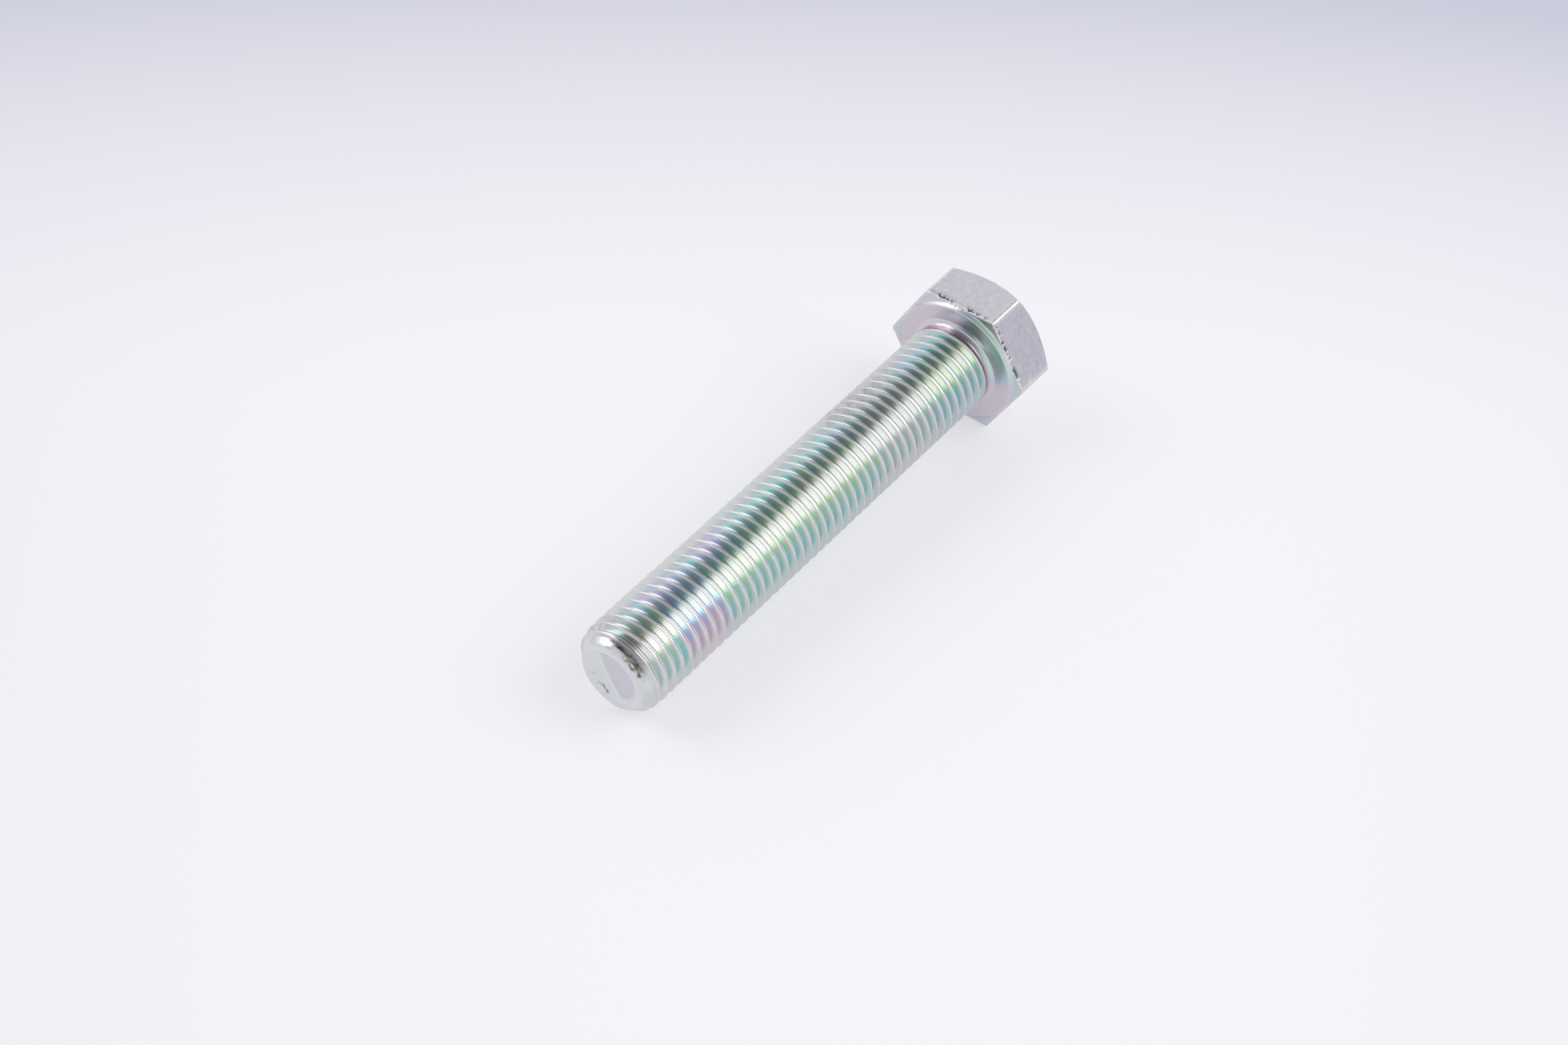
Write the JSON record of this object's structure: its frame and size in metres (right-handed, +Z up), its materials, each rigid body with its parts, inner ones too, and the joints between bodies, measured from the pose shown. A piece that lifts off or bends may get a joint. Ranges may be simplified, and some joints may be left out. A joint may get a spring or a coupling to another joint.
{
  "type": "hexagon head bolt",
  "caption": "Hexagon head bolt threaded to the head, with a washer face, under-head fillet, rounded point and dished end.",
  "frame": {"origin": "centre of the footprint of the bolt lying at rest, on the surface that it lies on", "axes": "+X along the footprint from the point to the head, +Z up; the bolt's own axis drops 2.6 degrees towards the point"},
  "size_m": [0.1006, 0.0274, 0.0241],
  "materials": {
    "zinc_plated_steel": "bright zinc plating with a clear blue iridescent passivation over rolled and drawn steel"
  },
  "bodies": {
    "root": {"hex_bolt": "zinc_plated_steel"}
  },
  "joints": []
}
